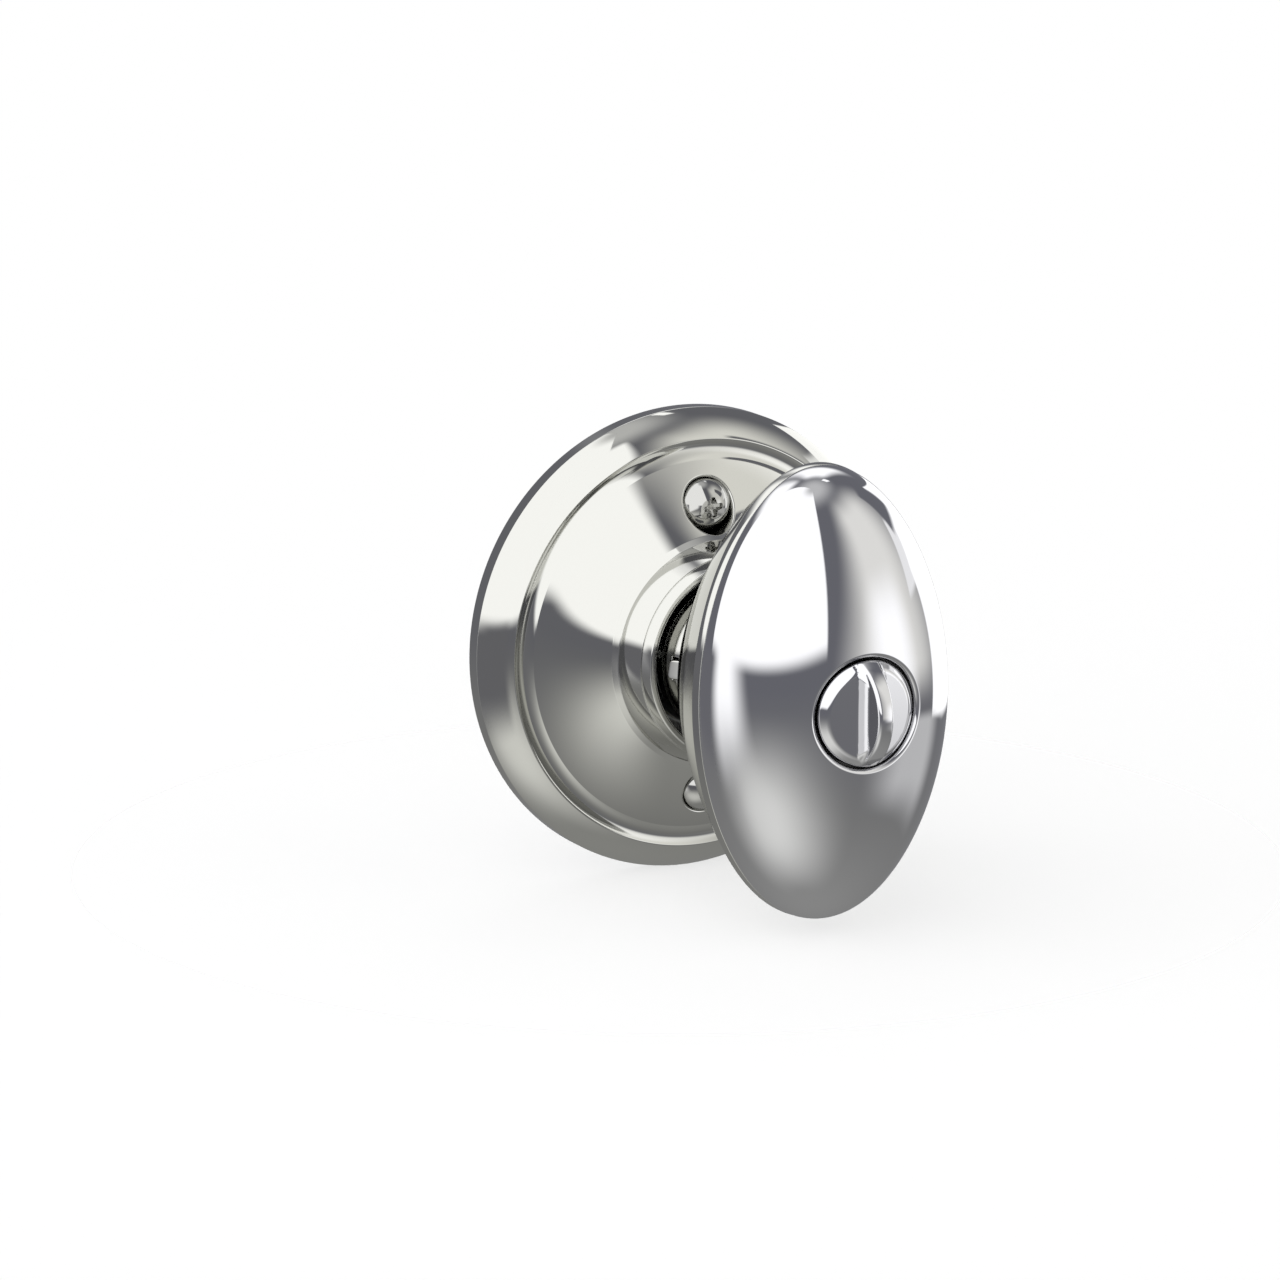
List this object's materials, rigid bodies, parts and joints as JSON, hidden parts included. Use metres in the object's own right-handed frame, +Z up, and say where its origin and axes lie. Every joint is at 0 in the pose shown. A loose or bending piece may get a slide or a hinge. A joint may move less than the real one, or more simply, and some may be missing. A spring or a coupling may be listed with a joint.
{
  "type": "inside knob half of a keyed entry lock",
  "caption": "Inside half of a keyed entry knob lock: oval chrome knob with a turn button, sprung to its middle, on a round rosette screwed to the door.",
  "frame": {"origin": "on the knob's axis, in the plane of the door face that the rosette rests on", "axes": "+Y along the knob's axis into the door, -Y out into the room, +Z up, +X to the right for a person in the room facing the door"},
  "size_m": [0.065, 0.0937, 0.065],
  "materials": {
    "chrome_trim": "polished",
    "screw_steel": "polished",
    "plated_steel": "satin zinc plate",
    "spring_steel": "drawn wire",
    "cast_zinc": "as cast",
    "bearing_polymer": "moulded"
  },
  "bodies": {
    "base": {"rosette": "chrome_trim", "mounting_screws": "screw_steel", "mounting_plate": "plated_steel", "screw_posts": "plated_steel", "hub": "plated_steel", "hub_liner": "bearing_polymer", "thrust_washer": "bearing_polymer", "return_spring": "spring_steel", "spring_cage": "plated_steel", "cage_rivets": "plated_steel"},
    "knob": {"drive_sleeve": "plated_steel", "retaining_ring": "spring_steel", "drive_plate": "plated_steel", "latch_spindle": "cast_zinc", "knob_neck": "chrome_trim", "knob_front_shell": "chrome_trim", "knob_back_shell": "chrome_trim", "seam_plate": "plated_steel", "knob_insert": "cast_zinc", "friction_washer": "spring_steel", "catch_spring": "spring_steel"},
    "button": {"turn_button": "chrome_trim", "button_clip": "spring_steel", "turn_bar": "plated_steel"},
    "catch": {"knob_catch": "plated_steel"}
  },
  "joints": [
    {"name": "knob_turn", "type": "hinge", "parent": "base", "child": "knob", "pos_m": [0, 0, 0], "axis": [0, 1, 0], "range_deg": [-60, 60], "stiffness_Nm_per_rad": 0.25, "deforming": ["return_spring"]},
    {"name": "button_turn", "type": "hinge", "parent": "knob", "child": "button", "pos_m": [0, 0, 0], "axis": [0, 1, 0], "range_deg": [0, 90]},
    {"name": "catch_press", "type": "slide", "parent": "knob", "child": "catch", "axis": [1, 0, 0], "range_m": [0, 0.0018], "stiffness_N_per_m": 1500, "deforming": ["catch_spring"]}
  ]
}
